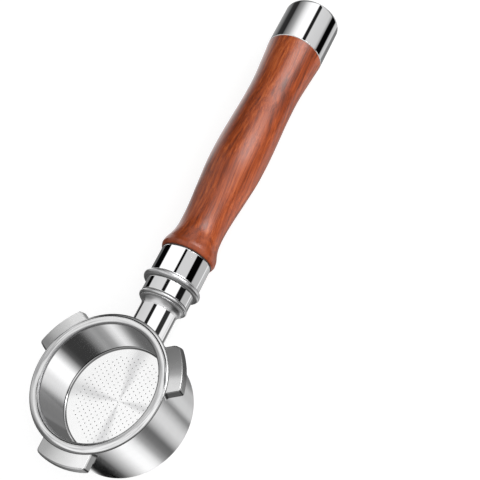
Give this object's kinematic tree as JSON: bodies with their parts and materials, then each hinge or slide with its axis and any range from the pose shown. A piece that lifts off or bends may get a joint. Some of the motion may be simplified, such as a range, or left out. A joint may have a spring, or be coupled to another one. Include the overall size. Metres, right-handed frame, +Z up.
{
  "type": "bottomless espresso portafilter",
  "caption": "Bottomless portafilter with a seated filter basket that lifts out, locking lugs, a metal arm and a turned wooden grip with a metal end cap.",
  "frame": {"origin": "centre of the filter holder's flat foot, on the holder's axis", "axes": "+Z up the filter holder's axis towards the seal of the group; the handle runs out along +X and droops a few degrees; +Y by the right-hand rule"},
  "size_m": [0.2562, 0.0701, 0.0426],
  "materials": {
    "holder_steel": "fine satin stainless, soft axial bands",
    "basket_steel": "bright pressed stainless sheet",
    "spring_steel": "drawn stainless spring wire",
    "chrome_arm": "mirror polished",
    "chrome_cap": "mirror polished",
    "black_rubber": "thin black gasket",
    "grip_wood": "oiled red-brown hardwood, satin",
    "zinc_steel": "zinc plated",
    "bush_brass": "turned brass",
    "pin_steel": "ground dowel pin"
  },
  "bodies": {
    "holder": {"anti_turn_pins": "pin_steel", "cap_seal_ring": "black_rubber", "end_cap": "chrome_cap", "ferrule": "chrome_arm", "ferrule_gasket": "black_rubber", "filter_holder_head": "holder_steel", "front_bush": "bush_brass", "front_lock_nut": "zinc_steel", "front_spring_washer": "spring_steel", "front_washer": "zinc_steel", "neck_arm": "chrome_arm", "neck_collar": "chrome_arm", "rear_bush": "bush_brass", "rear_disc_spring": "spring_steel", "rear_lock_nut": "zinc_steel", "rear_washer": "zinc_steel", "retaining_spring": "spring_steel", "tie_rod": "zinc_steel", "wood_grip": "grip_wood"},
    "basket": {"filter_basket": "basket_steel"}
  },
  "joints": [
    {"name": "basket_lift", "type": "slide", "parent": "holder", "child": "basket", "axis": [0, 0, 1], "range_m": [0, 0.035]}
  ]
}
